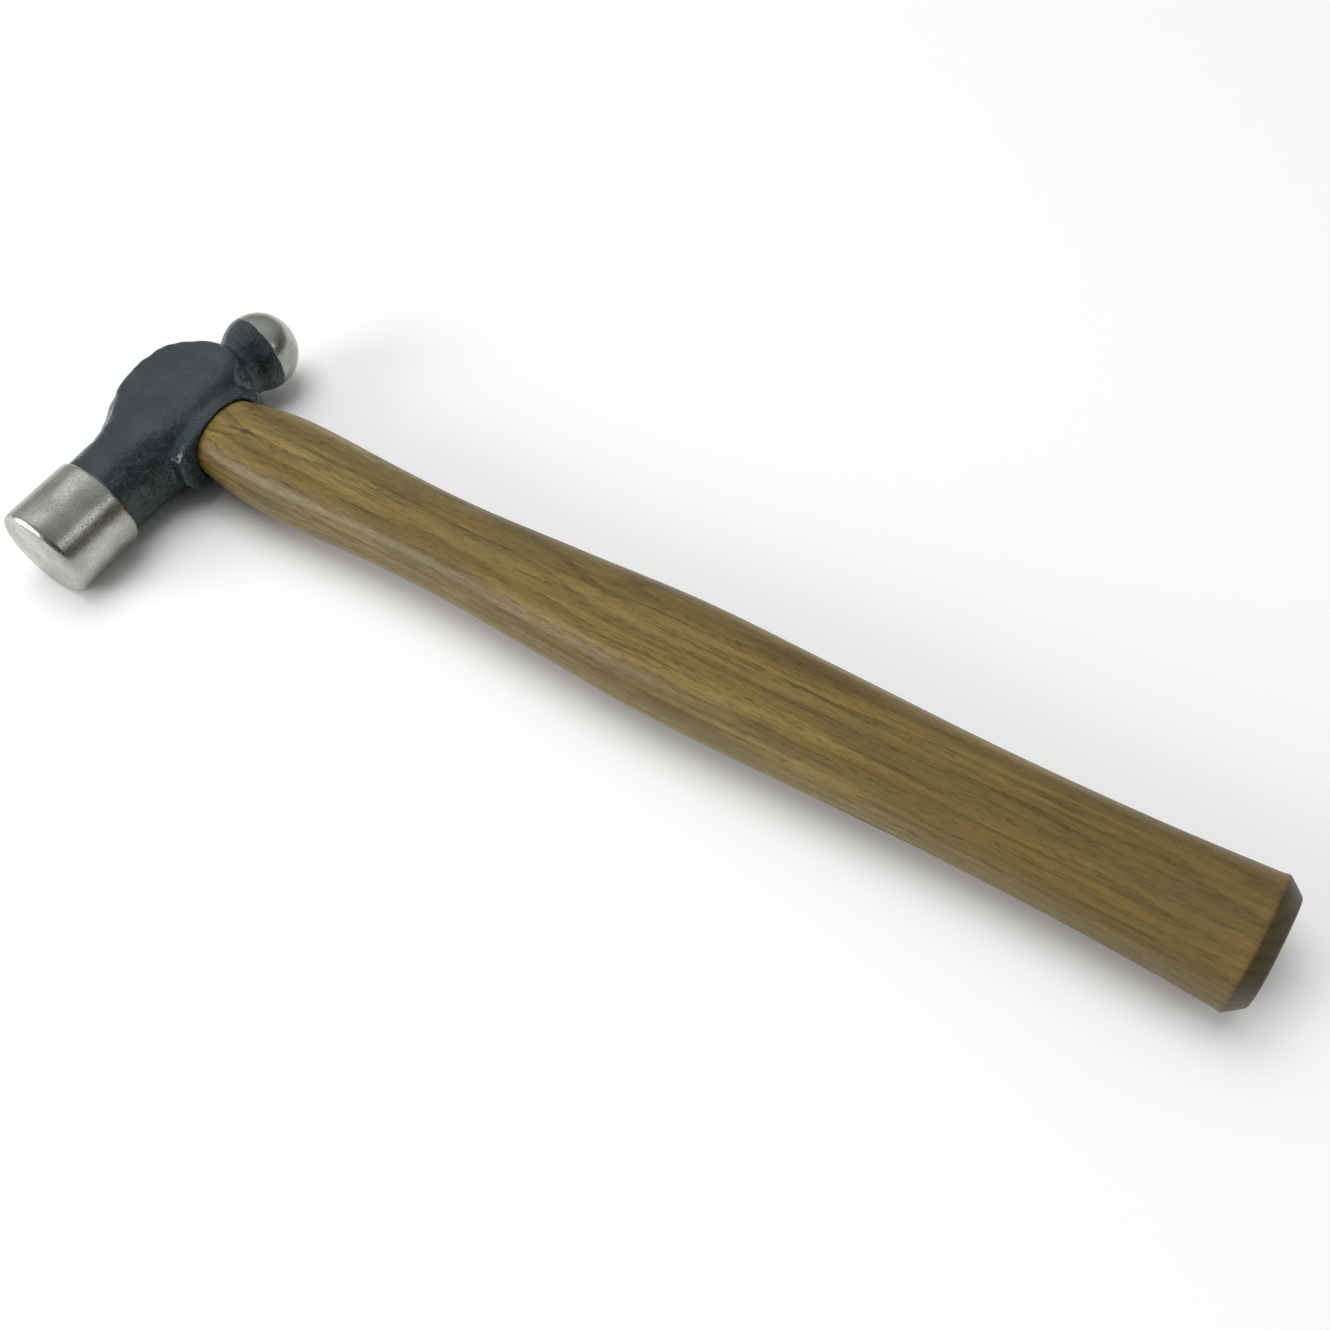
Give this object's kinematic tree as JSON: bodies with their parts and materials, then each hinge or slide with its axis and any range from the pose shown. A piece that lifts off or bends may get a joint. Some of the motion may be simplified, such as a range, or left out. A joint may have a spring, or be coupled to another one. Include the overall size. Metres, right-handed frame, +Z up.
{
  "type": "ball pein hammer",
  "caption": "Ball pein hammer with a round flat-faced poll, a ball pein and a painted forged head wedged on an oval wooden handle.",
  "frame": {"origin": "on the ground under the middle of the hammer, which lies on its side with a cheek up", "axes": "+X runs along the handle from the head to the butt, +Y along the head from the striking face to the ball, +Z up out of the upper cheek"},
  "size_m": [0.3495, 0.1076, 0.0295],
  "materials": {
    "painted_steel": "dark blue-grey semi-gloss paint over a slightly lumpy forging, with the poll and the ball ground to bright steel",
    "bare_steel": "ground bright steel",
    "hickory": "clear lacquered hickory with lengthwise grain",
    "wedge_wood": "sawn hardwood"
  },
  "bodies": {
    "root": {"head": "painted_steel", "handle": "hickory", "wooden_wedge": "wedge_wood", "steel_wedge_poll_side": "bare_steel", "steel_wedge_ball_side": "bare_steel"}
  },
  "joints": []
}
